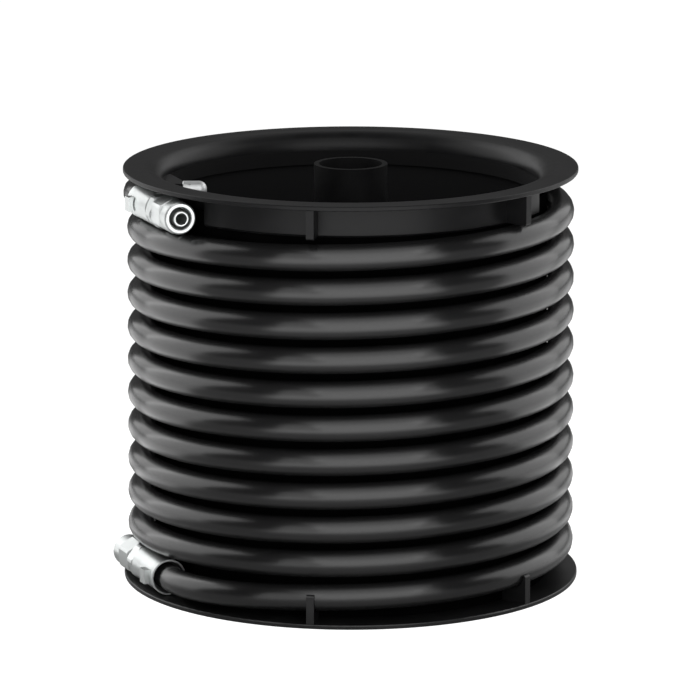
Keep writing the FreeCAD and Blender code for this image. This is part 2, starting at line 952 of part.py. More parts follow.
def nozzle_back():
    """Place of the nozzle's face along X."""
    return size("nozzle_inset") - bell_edge_radius()


def nozzle_height():
    """Height of the nozzle's axis, as it lies on the bay's shelf."""
    return bell_edge_height() + size("nozzle_radius")


def nozzle_placement(back=0.0):
    """Carries local +Z to +X, with the origin this far behind the nozzle's face."""
    base = Vector(
        nozzle_back().value - back, size("nozzle_side").value, nozzle_height().value
    )
    return Placement(base, Rotation(Vector(0, 1, 0), 90))


def nozzle_block():
    """Block on the bell that the nozzle's peg stands on."""
    half, depth = size("holder_block_half"), size("holder_block_depth")
    low = ledge_underside()
    return box("holder_block", depth, half * 2, nozzle_height() + half - low,
               (nozzle_back() - depth - size("nozzle_gap"), size("nozzle_side") - half, low))


def nozzle_room():
    """Space that the nozzle fills and slides through."""
    room = cylinder("nozzle_room", size("nozzle_radius") + size("nozzle_gap"),
                    size("nozzle_length") + size("nozzle_travel") + size("nozzle_gap") * 2)
    room.Placement = nozzle_placement(size("nozzle_gap").value)
    return room


def nozzle_peg():
    """Peg that the nozzle's threaded end is pushed on."""
    root = size("holder_block_depth") / 2
    peg = cylinder("holder_peg", size("nozzle_thread_radius") - size("nozzle_gap"),
                   size("holder_peg_length") + root)
    peg.Placement = nozzle_placement(root.value)
    return peg


def make_nozzle():
    """Button nozzle with rear jets: threaded back and domed nose."""
    radius, thread = size("nozzle_radius"), size("nozzle_thread_radius")
    bore = size("nozzle_bore_radius")
    head = size("nozzle_length")
    dome = size("nozzle_dome")
    depth = size("nozzle_thread_depth")
    bevel = size("nut_edge_bevel") / 2
    jet = size("nozzle_jet_radius")
    blank = turned("nozzle_blank", [
        (thread + bevel, Measure.of(0)),
        (radius - bevel, Measure.of(0)),
        (radius, bevel),
        (radius, head - dome),
        (radius - dome, head, dome, False),
        (jet, head),
        (jet, depth + bore),
        (bore, depth + bore),
        (bore, depth),
        (thread, depth),
        (thread, bevel),
    ])
    jets = []
    for number in range(JET_COUNT):
        tool = cylinder("nozzle_jet_%d" % number, jet, radius * 2)
        tilt = Rotation(Vector(0, 1, 0), 180.0 - size("nozzle_jet_tilt").value)
        around = Rotation(Vector(0, 0, 1), FULL_TURN / JET_COUNT * (number + 0.5))
        tool.Placement = Placement(Vector(0, 0, (depth + bore).value), around.multiply(tilt))
        jets.append(tool)
    nozzle = cut("nozzle", blank, fuse("nozzle_jets", jets))
    nozzle.Placement = nozzle_placement()
    return nozzle


# Hose


def heading(azimuth):
    """Direction in which the winding runs at an azimuth, rising with the pitch."""
    angle = math.radians(azimuth)
    rise = winding_pitch().value / (2 * math.pi * winding_radius(azimuth).value)
    return Vector(math.cos(angle), math.sin(angle), rise).normalize()


def on_winding(azimuth):
    place = azimuth_direction(azimuth) * winding_radius(azimuth).value
    return place + Vector(0, 0, winding_height(azimuth).value)


def tangent_arcs(start, start_way, end, end_way):
    """Two arcs that join two points and keep the direction at both."""
    chord = end - start
    both = start_way + end_way
    square = both.dot(both) - 4.0
    linear = -2.0 * chord.dot(both)
    constant = chord.dot(chord)
    root = math.sqrt(linear * linear - 4.0 * square * constant)
    reach = (-linear - root) / (2.0 * square)
    first, second = start + start_way * reach, end - end_way * reach
    joint = (first + second) * 0.5
    return [arc_through(start, first, joint), arc_through(joint, second, end)]


def arc_through(start, corner, end):
    """The arc from start to end that is tangent to the two legs at their corner."""
    middle = (start + end) * 0.5
    half_chord = (end - start).Length / 2.0
    to_corner = corner - middle
    angle = math.atan2(to_corner.Length, half_chord)
    crown = middle + to_corner.normalize() * (half_chord * math.tan(angle / 2.0))
    return Part.Arc(start, crown, end)


def seat_station():
    """Distance from a nut's face back to where the hose butts on the tail."""
    return size("nut_length") + size("shoulder_gap") + size("shoulder_length") + size("hose_seat")


def winding_azimuths(first, last):
    """Azimuths of the stations a quarter turn apart between two azimuths."""
    quarter = FULL_TURN / 4.0
    count = int(round((last - first) / quarter))
    return [first + quarter * number for number in range(count + 1)]


def hose_path(bottom, top):
    """Centre line of the hose, from the bottom tail's seat to the top tail's seat."""
    seat = seat_station().value
    mouth = size("fitting_length").value
    stations = [(bottom.station(mouth), bottom.nose * -1.0)]
    low = -FULL_TURN * LOW_PASSES
    high = FULL_TURN * (FRONT_PASSES - LOW_PASSES) - FULL_TURN / 2.0
    for azimuth in winding_azimuths(low, high):
        stations.append((on_winding(azimuth), heading(azimuth)))
    stations.append((top.station(mouth), top.nose))
    curves = [Part.LineSegment(bottom.station(seat), bottom.station(mouth))]
    for (start, start_way), (end, end_way) in zip(stations, stations[1:]):
        curves += tangent_arcs(start, start_way, end, end_way)
    curves.append(Part.LineSegment(top.station(mouth), top.station(seat)))
    return Part.Wire([curve.toShape() for curve in curves])


def make_hose(path, bottom, top):
    """The hose as one tube with its bore, wound in a single layer."""
    seat = seat_station().value
    ends = [(bottom.station(seat), bottom.nose * -1.0), (top.station(seat), top.nose)]
    outer_radius = size("hose_diameter").value / 2.0
    bore_radius = size("hose_bore").value / 2.0
    outside = path.makePipeShell([ring(ends[0], outer_radius)], True, False)
    bore = path.makePipeShell([ring(ends[0], bore_radius)], True, False)
    solid = outside.cut(bore)
    expected = math.pi * (outer_radius ** 2 - bore_radius ** 2) * path.Length
    print("hose length %.1f mm, volume over section times length %.5f"
          % (path.Length, solid.Volume / expected))
    print_spacing(path, outer_radius)
    return shape_feature("hose", solid)


def ring(end, radius):
    """A circular wire round one end of the hose."""
    point, direction = end
    return Part.Wire([Part.Circle(point, direction, radius).toShape()])


def print_spacing(path, outer_radius):
    """Print the least gap of the hose to itself and to the drum, and its tightest bend."""
    points = []
    for edge in path.OrderedEdges:
        count = max(2, int(edge.Length / 4.0))
        points += edge.discretize(count)[:-1]
    travelled, last = [0.0], points[0]
    for point in points[1:]:
        travelled.append(travelled[-1] + (point - last).Length)
        last = point
    ring = 2.0 * math.pi * winding_radius(0.0).value
    least = min(
        (points[a] - points[b]).Length
        for a in range(0, len(points), 2)
        for b in range(a + 1, len(points))
        if 0.8 * ring < travelled[b] - travelled[a] < 1.2 * ring
    )
    inner = min(math.hypot(p.x, p.y) for p in points)
    bends = [edge.Curve.Radius for edge in path.Edges if isinstance(edge.Curve, Part.Circle)]
    print("least gap of the hose to itself %.2f mm" % (least - 2.0 * outer_radius))
    print("least centre radius %.2f mm, tightest bend %.1f mm" % (inner, min(bends)))


# Build and export


def check_document():
    """Stop if any object of the document failed."""
    for item in doc.Objects:
        if "Invalid" in item.State or "Error" in item.State:
            raise RuntimeError("object failed: %s %s" % (item.Name, item.State))


def export(nodes):
    """Write each sub-part under its own label."""
    os.makedirs("parts", exist_ok=True)
    for label, item in nodes:
        item.Label = label
        shape = item.Shape
        if shape.isNull() or not shape.isValid():
            raise RuntimeError("shape is not valid: " + label)
        solids = shape.Solids
        print("%-22s %d solid(s) %10.1f mm3" % (label, len(solids), shape.Volume))
    for label, item in nodes:
        item.Shape.exportStep("parts/%s.step" % label)


def main():
    fill_sheet()
    ends = {"top": Fitting("top"), "bottom": Fitting("bottom")}
    path = hose_path(ends["bottom"], ends["top"])
    points = hose_points(path)
    nodes = [
        ("bottom_flange", make_bottom_flange(points)),
        ("drum_core", make_drum()),
        ("top_flange", make_top_flange(points)),
        ("hub_tube", make_hub_tube()),
        ("flange_screws", make_screws()),
        ("nozzle", make_nozzle()),
    ]
    for end, fitting in ends.items():
        neck, nipple = size("neck_radius"), size("nipple_radius")
        nodes += [
            (end + "_swivel_nut", make_nut(fitting)),
            (end + "_hose_tail", make_tail(fitting)),
            (end + "_ferrule", make_ferrule(fitting)),
            (end + "_clamp_ring", make_ring(fitting)),
            (end + "_retaining_wire", ring_of_wire(
                fitting, end + "_retaining_wire", neck, size("wire_radius"), size("wire_station"))),
            (end + "_nose_seal", ring_of_wire(
                fitting, end + "_nose_seal", nipple, size("seal_radius"), size("seal_station"))),
        ]
    nodes.append(("hose", make_hose(path, ends["bottom"], ends["top"])))
    doc.recompute()
    check_document()
    export(nodes)


main()
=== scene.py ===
"""Looks of a jetting hose on its storage reel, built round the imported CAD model."""

from __future__ import annotations

import logging
import math
from dataclasses import dataclass, field, replace
from enum import Enum
from typing import Any, Iterable

import bmesh
import bpy
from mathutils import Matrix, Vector

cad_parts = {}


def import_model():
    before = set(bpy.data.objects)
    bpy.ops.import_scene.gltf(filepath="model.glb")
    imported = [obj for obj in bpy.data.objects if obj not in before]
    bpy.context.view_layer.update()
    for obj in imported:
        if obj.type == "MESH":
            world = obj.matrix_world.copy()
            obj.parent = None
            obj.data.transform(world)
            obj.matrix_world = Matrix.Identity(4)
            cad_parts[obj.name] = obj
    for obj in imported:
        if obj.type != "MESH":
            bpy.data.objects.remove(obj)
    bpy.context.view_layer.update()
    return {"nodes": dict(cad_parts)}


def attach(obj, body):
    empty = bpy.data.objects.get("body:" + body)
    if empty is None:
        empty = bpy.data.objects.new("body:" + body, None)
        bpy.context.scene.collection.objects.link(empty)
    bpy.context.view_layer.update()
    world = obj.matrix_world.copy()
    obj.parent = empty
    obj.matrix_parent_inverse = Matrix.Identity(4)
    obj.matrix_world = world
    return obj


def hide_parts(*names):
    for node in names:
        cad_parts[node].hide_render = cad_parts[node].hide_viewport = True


log = logging.getLogger("reel")

Colour = tuple[float, float, float]
Range = tuple[float, float]

MM = 0.001
TURN = 360.0
WHITE = (1.0, 1.0, 1.0, 1.0)
PAST_THE_REEL = 300.0
NOISE_MIDDLE = 0.5
REEL_BODY = "reel"
END_NAMES = ("top_", "bottom_")


def polar(azimuth: float, radius: float, height: float) -> Vector:
    """Place a point by its azimuth from the front towards the right.

    Args:
        azimuth: degrees about the hub axis, 0 at the front.
        radius: distance from the hub axis in millimetres.
        height: height above the bottom face in millimetres.

    Returns:
        The point in metres.
    """
    angle = math.radians(azimuth)
    return Vector((radius * math.sin(angle), -radius * math.cos(angle), height)) * MM


class Wire:
    """A shader socket that takes part in Python expressions."""

    def __init__(self, graph: "Graph", socket: bpy.types.NodeSocket) -> None:
        """Keep the graph and the socket."""
        self.graph = graph
        self.socket = socket

    def _math(self, operation: str, *values: Any, clamp: bool = False) -> "Wire":
        """Join this value to others through a Math node.

        Args:
            operation: the Math node's operation.
            values: the numbers or values that follow this one.
            clamp: whether the result is kept between 0 and 1.

        Returns:
            The result.
        """
        made = self.graph.node(
            "ShaderNodeMath", {"operation": operation, "use_clamp": clamp},
            dict(enumerate((self, *values))),
        )
        return Wire(self.graph, made.outputs[0])

    def __add__(self, other: Any) -> "Wire":
        """Add a number or a value."""
        return self._math("ADD", other)

    __radd__ = __add__

    def __sub__(self, other: Any) -> "Wire":
        """Take a number or a value away."""
        return self._math("SUBTRACT", other)

    def __rsub__(self, other: Any) -> "Wire":
        """Take this value away from a number."""
        return (self * -1.0)._math("ADD", other)

    def __mul__(self, other: Any) -> "Wire":
        """Multiply by a number or a value."""
        return self._math("MULTIPLY", other)

    __rmul__ = __mul__

    def root(self) -> "Wire":
        """Square root."""
        return self._math("POWER", 0.5)

    def azimuth_from(self, other: Any) -> "Wire":
        """Angle in degrees whose sine side is this value and cosine side the other."""
        return self._math("ARCTAN2", other) * math.degrees(1.0)

    def clamped(self) -> "Wire":
        """Keep between 0 and 1."""
        return self._math("ADD", 0.0, clamp=True)

    def ramp(self, low: float, high: float, start: float = 0.0, end: float = 1.0) -> "Wire":
        """Map a range to another, smoothly and kept inside it.

        Args:
            low: the range's first value.
            high: the range's last value.
            start: what the first value becomes.
            end: what the last value becomes.

        Returns:
            The mapped value.
        """
        made = self.graph.node(
            "ShaderNodeMapRange",
            {"interpolation_type": "SMOOTHSTEP", "clamp": True},
            {"Value": self, "From Min": low, "From Max": high, "To Min": start, "To Max": end},
        )
        return Wire(self.graph, made.outputs[0])

    def fall(self, middle: float, blend: float) -> "Wire":
        """1 below a value and 0 above it, blended by this much each side."""
        return self.ramp(middle - blend, middle + blend, 1.0, 0.0)

    def rise(self, middle: float, blend: float) -> "Wire":
        """0 below a value and 1 above it, blended by this much each side."""
        return self.ramp(middle - blend, middle + blend)


class Graph:
    """The node tree of one material or world."""

    def __init__(self, tree: bpy.types.NodeTree) -> None:
        """Empty a node tree and keep it."""
        self.tree = tree
        tree.nodes.clear()

    def node(self, kind: str, settings: dict[str, Any] | None = None,
             inputs: dict[Any, Any] | None = None) -> bpy.types.Node:
        """Add a node, set it up, then fill or link its sockets.

        Args:
            kind: the node's type.
            settings: the node's properties.
            inputs: a number, colour, socket or Wire for each input's name or index.

        Returns:
            The node.
        """
        made = self.tree.nodes.new(kind)
        for name, value in (settings or {}).items():
            setattr(made, name, value)
        for key, value in (inputs or {}).items():
            self._fill(made.inputs[key], value)
        return made

    def _fill(self, socket: bpy.types.NodeSocket, value: Any) -> None:
        """Link an input to a socket or Wire, or give it a number or colour.

        Args:
            socket: the input.
            value: what feeds it.
        """
        if isinstance(value, Wire):
            value = value.socket
        if isinstance(value, bpy.types.NodeSocket):
            self.tree.links.new(value, socket)
        else:
            socket.default_value = value

    def output(self, kind: str, shader: bpy.types.Node) -> None:
        """Show a shader on a surface or the world."""
        self.node(kind, {}, {"Surface": shader.outputs[0]})

    def place(self, kind: str = "Object") -> bpy.types.NodeSocket:
        """Texture coordinates of the surface."""
        return self.node("ShaderNodeTexCoord").outputs[kind]

    def split(self, vector: bpy.types.NodeSocket, axes: str) -> list[Wire]:
        """The parts of a vector along the axes named."""
        parts = self.node("ShaderNodeSeparateXYZ", {}, {0: vector})
        return [Wire(self, parts.outputs[axis]) for axis in axes]

    def rays(self, kinds: Iterable[str]) -> list[Wire]:
        """1 for rays of each kind named and 0 for others."""
        path = self.node("ShaderNodeLightPath")
        return [Wire(self, path.outputs[f"Is {kind} Ray"]) for kind in kinds]

    def noise(self, scale: float, detail: float, roughness: float) -> Wire:
        """Fractal noise between 0 and 1 over the object.

        Args:
            scale: how many of its largest features there are to a metre.
            detail: how many finer layers it has.
            roughness: how strong the finer layers are.

        Returns:
            The noise.
        """
        made = self.node(
            "ShaderNodeTexNoise", {},
            {"Vector": self.place(), "Scale": scale, "Detail": detail, "Roughness": roughness},
        )
        return Wire(self, made.outputs["Fac"])

    def mix(self, factor: Wire, first: Any, second: Any) -> bpy.types.NodeSocket:
        """Blend two colours.

        Args:
            factor: how much of the second there is.
            first: a colour or socket.
            second: a colour or socket.

        Returns:
            The blended colour.
        """
        made = self.node("ShaderNodeMix", {"data_type": "RGBA"})
        ends = [socket for socket in made.inputs if socket.type == "RGBA"]
        for socket, colour in zip(ends, (first, second)):
            is_socket = isinstance(colour, bpy.types.NodeSocket)
            self._fill(socket, colour if is_socket else (*colour, 1.0))
        self._fill(next(socket for socket in made.inputs if socket.type == "VALUE"), factor)
        return next(socket for socket in made.outputs if socket.type == "RGBA")

    def cylindrical(self) -> tuple[Wire, Wire, Wire, Wire]:
        """Object coordinates about the hub axis.

        Returns:
            The way to the right, to the rear, from the axis and up, in millimetres.
        """
        across, along, up = (part * (1.0 / MM) for part in self.split(self.place(), "XYZ"))
        return across, along, (across * across + along * along).root(), up

    def bump(self, height: Wire, distance: float) -> bpy.types.NodeSocket:
        """A normal raised by a height of this many metres."""
        inputs = {"Height": height, "Distance": distance, "Strength": 1.0}
        return self.node("ShaderNodeBump", {}, inputs).outputs["Normal"]


@dataclass(frozen=True)
class Hollow:
    """Region inside the open drum, where a moulding is left unpolished and given another base
    colour, which on the drum is a lighter grey, painted light in the open well.

    Attributes:
        radius: the region lies nearer to the hub axis than this, in millimetres.
        height: it lies lower than this.
        bay_distance: it lies nearer to the hub axis than the bay's flat wall.
        bay_azimuth: degrees from the front to the middle of the bay.
        blend: half the width of its soft edge.
    """

    radius: float
    height: float
    bay_distance: float
    bay_azimuth: float = -70.0
    blend: float = 0.4

    def inside(self, graph: Graph) -> Wire:
        """1 on the surfaces inside the region, 0 outside it.

        Args:
            graph: the material's nodes.

        Returns:
            The weight.
        """
        across, along, away, up = graph.cylindrical()
        turn = math.radians(self.bay_azimuth)
        bay = across * math.sin(turn) - along * math.cos(turn)
        return (away.fall(self.radius, self.blend) * up.fall(self.height, self.blend)
                * bay.fall(self.bay_distance, self.blend))


@dataclass(frozen=True)
class Finish:
    """A surface finish: base colour, gloss and fine grain.

    Attributes:
        name: the material's name.
        colour: the base colour.
        second: the colour of its faint patches.
        roughness: the middle roughness.
        roughness_spread: how far the roughness strays from its middle.
        metallic: 1 for bare metal.
        specular: strength of the reflection of a plastic, 0.5 as in glass.
        anisotropic: how far the reflection is drawn out.
        anisotropic_turn: the way that it is drawn out, in turns.
        patch_scale: patches to a metre.
        patch_detail: finer layers in the patches.
        patch_roughness: strength of those layers.
        patch_range: the noise between the two colours.
        grain_scale: grains to a metre.
        grain_detail: finer layers in the grain.
        grain_roughness: strength of those layers.
        grain_height: height of the grain in metres.
        hollow: where the moulding is left unpolished.
        hollow_colour: the base colour there, which on the drum is a lighter grey, painted light in
            the open well.
        hollow_roughness: the roughness there.
    """

    name: str
    colour: Colour
    second: Colour
    roughness: float
    roughness_spread: float = 0.08
    metallic: float = 0.0
    specular: float = 0.5
    anisotropic: float = 0.0
    anisotropic_turn: float = 0.0
    patch_scale: float = 60.0
    patch_detail: float = 4.0
    patch_roughness: float = 0.5
    patch_range: Range = (0.3, 0.7)
    grain_scale: float = 2500.0
    grain_detail: float = 3.0
    grain_roughness: float = 0.6
    grain_height: float = 0.00003
    hollow: Hollow | None = None
    hollow_colour: Colour = (0.006, 0.006, 0.0062)
    hollow_roughness: float = 0.9

    def material(self) -> bpy.types.Material:
        """Make the material with its nodes.

        Returns:
            The material.
        """
        made = bpy.data.materials.new(self.name)
        made.use_nodes = True
        graph = Graph(made.node_tree)
        patches = graph.noise(self.patch_scale, self.patch_detail, self.patch_roughness)
        grain = graph.noise(self.grain_scale, self.grain_detail, self.grain_roughness)
        colour = graph.mix(patches.ramp(*self.patch_range), self.colour, self.second)
        rough = (patches - NOISE_MIDDLE) * (2.0 * self.roughness_spread) + self.roughness
        if self.hollow is not None:
            inside = self.hollow.inside(graph)
            # In the hollow the base colour changes: on the drum it is a lighter grey, painted light
            # in the open well.
            colour = graph.mix(inside, colour, self.hollow_colour)
            rough = rough + inside * (self.hollow_roughness - self.roughness)
        shader = graph.node(
            "ShaderNodeBsdfPrincipled", {},
            {"Base Color": colour, "Roughness": rough.clamped(), "Metallic": self.metallic,
             "Specular IOR Level": self.specular, "Anisotropic": self.anisotropic,
             "Anisotropic Rotation": self.anisotropic_turn,
             "Normal": graph.bump(grain, self.grain_height)},
        )
        graph.output("ShaderNodeOutputMaterial", shader)
        return made


MOULDED = Finish("moulded_black_plastic", (0.0045, 0.0045, 0.0048), (0.0065, 0.0065, 0.0068),
                 0.36, specular=0.145, grain_scale=1800.0)
TOP_MOULDED = replace(MOULDED, name="moulded_rim_plastic",
                      hollow=Hollow(99.8, 211.0, PAST_THE_REEL),
                      hollow_colour=(0.0045, 0.0045, 0.0047))
BASE_MOULDED = replace(MOULDED, name="moulded_base_plastic", specular=0.42)
# The drum is painted near black, painted shade between the hose turns, and a lighter grey inside
# the open well, painted light.
DRUM = Finish("drum_plastic", (0.0012, 0.0012, 0.0013), (0.0018, 0.0018, 0.0019), 0.8,
              specular=0.0, hollow=Hollow(102.4, PAST_THE_REEL, 97.8),
              hollow_colour=(0.0105, 0.0105, 0.0108))
HUB = Finish("hub_plastic", (0.004, 0.004, 0.0042), (0.006, 0.006, 0.0062), 0.5, specular=0.05)
JACKET = Finish("hose_jacket", (0.005, 0.005, 0.0051), (0.0062, 0.0062, 0.0064), 0.25,
                roughness_spread=0.02, specular=0.55, anisotropic=0.9, anisotropic_turn=0.25,
                patch_scale=25.0, grain_scale=900.0, grain_height=0.000006)
ZINC = Finish("zinc_plate", (0.54, 0.56, 0.555), (0.6, 0.62, 0.615), 0.36, metallic=0.95,
              grain_scale=1200.0, grain_height=0.00002)
STEEL = Finish("turned_steel", (0.72, 0.73, 0.73), (0.80, 0.81, 0.81), 0.25, metallic=1.0)
NOZZLE = Finish("blasted_steel", (0.5, 0.51, 0.51), (0.58, 0.59, 0.59), 0.48, metallic=0.9)
SCREW = Finish("plated_screw", (0.5, 0.51, 0.52), (0.6, 0.61, 0.62), 0.35, metallic=1.0)
RUBBER = Finish("seal_rubber", (0.012, 0.012, 0.012), (0.02, 0.02, 0.02), 0.6)


def dress(piece: bpy.types.Object, material: bpy.types.Material) -> None:
    """Give a piece one material in place of what it has."""
    piece.data.materials.clear()
    piece.data.materials.append(material)


def add_object(name: str, data: bpy.types.ID) -> bpy.types.Object:
    """Put new data into the scene.

    Args:
        name: the object's name.
        data: its mesh, curve, camera or lamp.

    Returns:
        The object.
    """
    made = bpy.data.objects.new(name, data)
    bpy.context.scene.collection.objects.link(made)
    return made


@dataclass
class Camera:
    """The photograph's camera, found by fitting both rims of the reel.

    Attributes:
        distance: from the target to the lens in millimetres.
        elevation: degrees above the target.
        target_height: height of the target on the hub axis.
        side: how far the target lies to the right of the axis.
        lens: focal length in millimetres.
        sensor: width of the sensor in millimetres.
        clip: nearest and furthest distance that it sees, in metres.
    """

    distance: float = 2786.7
    elevation: float = 12.2574
    target_height: float = 120.9
    side: float = -0.35
    lens: float = 269.88
    sensor: float = 36.0
    clip: Range = (0.1, 100.0)

    def build(self) -> None:
        """Make the camera and use it."""
        data = bpy.data.cameras.new("camera")
        data.lens, data.sensor_width = self.lens, self.sensor
        data.clip_start, data.clip_end = self.clip
        made = add_object("camera", data)
        angle = math.radians(self.elevation)
        back = Vector((0, -math.cos(angle), math.sin(angle)))
        target = Vector((self.side, 0, self.target_height)) * MM
        made.location = target + back * self.distance * MM
        made.rotation_euler = back.to_track_quat("Z", "Y").to_euler()
        bpy.context.scene.camera = made


@dataclass(frozen=True)
class Lamp:
    """A soft panel that faces the reel, as bright as its radiance from everywhere.

    Attributes:
        name: the lamp's name.
        azimuth: degrees from the front towards the right.
        elevation: degrees above the point that it faces.
        distance: from that point in metres.
        width: in metres.
        height: in metres.
        radiance: 1 looks white in a mirror.
    """

    name: str
    azimuth: float
    elevation: float
    distance: float
    width: float
    height: float
    radiance: float

    def build(self, aim: Vector) -> None:
        """Make the lamp.

        Args:
            aim: the point that it faces.
        """
        data = bpy.data.lights.new(self.name, "AREA")
        data.shape = "RECTANGLE"
        data.size, data.size_y = self.width, self.height
        data.energy = self.radiance * math.pi * self.width * self.height
        made = add_object(self.name, data)
        level, turn = math.radians(self.elevation), math.radians(self.azimuth)
        away = Vector((math.sin(turn) * math.cos(level), -math.cos(turn) * math.cos(level),
                       math.sin(level)))
        made.location = aim + away * self.distance
        made.rotation_euler = away.to_track_quat("Z", "Y").to_euler()
        made.visible_camera = False


@dataclass(frozen=True)
class Sector:
    """Part of the floor that glows, a painted pool of light where a soft panel shines, away from
    the reel.

    Attributes:
        low: azimuth of its first side in degrees from the front towards the right.
        high: azimuth of its last side.
        strength: how bright it is.
        start: how far from the hub axis it starts, in metres.
        side_blend: half the width of its sides' soft edge in degrees.
        start_blend: half the width of its start's soft edge in metres.
    """

    low: float
    high: float
    strength: float
    start: float
    side_blend: float = 6.0
    start_blend: float = 0.02

    def light(self, azimuth: Wire, away: Wire) -> Wire:
        """Painted light that the floor gives off in this sector.

        Args:
            azimuth: degrees from the front towards the right.
            away: distance from the hub axis in metres.

        Returns:
            The emission strength, 0 outside the sector.
        """
        between = azimuth.rise(self.low, self.side_blend) * azimuth.fall(self.high, self.side_blend)
        return between * away.rise(self.start, self.start_blend) * self.strength


@dataclass
class Studio:
    """White floor and world, and the soft lamps round the reel.

    Attributes:
        ambient: the world's strength as a light.
        sheen: its strength in a mirror, at the top of the backdrop.
        backdrop_behind: where that strength starts and is full, from the side to the rear.
        backdrop_above: where it starts and is full, from level to straight up.
        aim_height: height that the lamps face, in metres.
        floor_size: in metres.
        floor_glow: how bright the camera sees the floor before any light falls on it.
        floor_front: grey of the floor in front of the reel.
        floor_behind: grey of the floor behind the reel, painted shade that the hose mirrors.
        floor_regain: glow that makes up for the darker grey.
        floor_falls_off: azimuths between which the floor goes from one grey to the other.
        lamps: the soft panels.
        sectors: the floor's painted pools of light.
    """

    ambient: float = 0.08
    sheen: float = 0.38
    backdrop_behind: Range = (0.0, 0.8)
    backdrop_above: Range = (0.2, 0.5)
    aim_height: float = 0.11
    floor_size: float = 12.0
    floor_glow: float = 0.85
    floor_front: float = 0.5
    floor_behind: float = 0.06
    floor_regain: float = 0.15
    floor_falls_off: Range = (146.0, 170.0)
    lamps: tuple[Lamp, ...] = (
        Lamp("front_middle", 9.0, 20.0, 3.4, 3.3, 2.75, 2.35),
        Lamp("front_left", -28.0, 20.0, 3.4, 1.14, 2.75, 1.25),
        Lamp("front_right", 39.5, 20.0, 3.4, 0.6, 2.75, 1.2),
        Lamp("front_ceiling", 10.0, 58.0, 3.0, 2.7, 1.72, 1.35),
        Lamp("left_panel", -105.0, 27.0, 3.2, 3.1, 3.3, 1.9),
        Lamp("left_rear_panel", -141.0, 29.0, 3.3, 1.9, 3.1, 1.25),
        Lamp("right_panel", 108.0, 25.0, 3.2, 2.85, 3.0, 1.65),
        Lamp("right_rear_panel", 145.0, 28.0, 3.2, 1.5, 2.7, 1.0),
    )
    sectors: tuple[Sector, ...] = (
        Sector(-38.0, 44.0, 2.0, 0.33),
        Sector(-126.0, -80.0, 1.3, 0.19),
        Sector(82.0, 124.0, 1.05, 0.19),
        Sector(-152.0, -128.0, 0.7, 0.3),
        Sector(128.0, 152.0, 0.55, 0.3),
    )

    def build(self) -> None:
        """Make the world, the floor and the lamps."""
        bpy.context.scene.view_settings.view_transform = "Standard"
        self._world()
        self._floor()
        aim = Vector((0, 0, self.aim_height))
        for lamp in self.lamps:
            lamp.build(aim)

    def _world(self) -> None:
        """White where it is seen, dimmer where it mirrors, plain soft light where it lights."""
        world = bpy.data.worlds.new("studio")
        bpy.context.scene.world = world
        world.use_nodes = True
        graph = Graph(world.node_tree)
        seen, through, mirrored = graph.rays(("Camera", "Transmission", "Glossy"))
        behind, above = graph.split(graph.place("Generated"), "YZ")
        backdrop = behind.ramp(*self.backdrop_behind) * above.ramp(*self.backdrop_above)
        strength = ((seen + through) * (1.0 - self.ambient)
                    + mirrored * backdrop * (self.sheen - self.ambient) + self.ambient)
        sky = graph.node("ShaderNodeBackground", {}, {"Color": WHITE, "Strength": strength})
        graph.output("ShaderNodeOutputWorld", sky)

    def _floor(self) -> None:
        """A large white floor that keeps a faint shadow and falls off to a darker grey behind the
        reel, painted shade that the hose mirrors.
        """
        mesh = bpy.data.meshes.new("floor")
        shape = bmesh.new()
        bmesh.ops.create_grid(shape, x_segments=1, y_segments=1, size=self.floor_size / 2)
        shape.to_mesh(mesh)
        shape.free()
        floor = add_object("floor", mesh)
        dress(floor, self._paper())

    def _paper(self) -> bpy.types.Material:
        """The floor's white paper, with painted pools of light under the soft panels.

        Returns:
            The material.
        """
        made = bpy.data.materials.new("floor_paper")
        made.use_nodes = True
        graph = Graph(made.node_tree)
        place = graph.place()
        across, along = graph.split(place, "XY")
        azimuth = across.azimuth_from(along * -1.0)
        length = graph.node("ShaderNodeVectorMath", {"operation": "LENGTH"}, {0: place})
        away = Wire(graph, length.outputs["Value"])
        # Painted pools of light: the floor glows in these sectors so that the hose mirrors a bright
        # floor.
        lit = sum(sector.light(azimuth, away) for sector in self.sectors)
        off_front = (azimuth * azimuth).root()
        behind = off_front.ramp(*self.floor_falls_off)
        # Behind the reel the floor is painted a darker grey, painted shade that the hose mirrors;
        # the camera still sees it white.
        grey = graph.mix(behind, (self.floor_front,) * 3, (self.floor_behind,) * 3)
        diffuse = graph.node("ShaderNodeBsdfDiffuse", {}, {"Color": grey})
        seen = graph.rays(("Camera",))[0]
        strength = seen * (behind * self.floor_regain + self.floor_glow) + lit
        glow = graph.node("ShaderNodeEmission", {}, {"Color": WHITE, "Strength": strength})
        both = graph.node("ShaderNodeAddShader", {}, {0: diffuse.outputs[0], 1: glow.outputs[0]})
        graph.output("ShaderNodeOutputMaterial", both)
        return made


class End(Enum):
    """The two ends of the hose, each with the way round the hub that its fitting points."""

    TOP = 1.0
    BOTTOM = -1.0


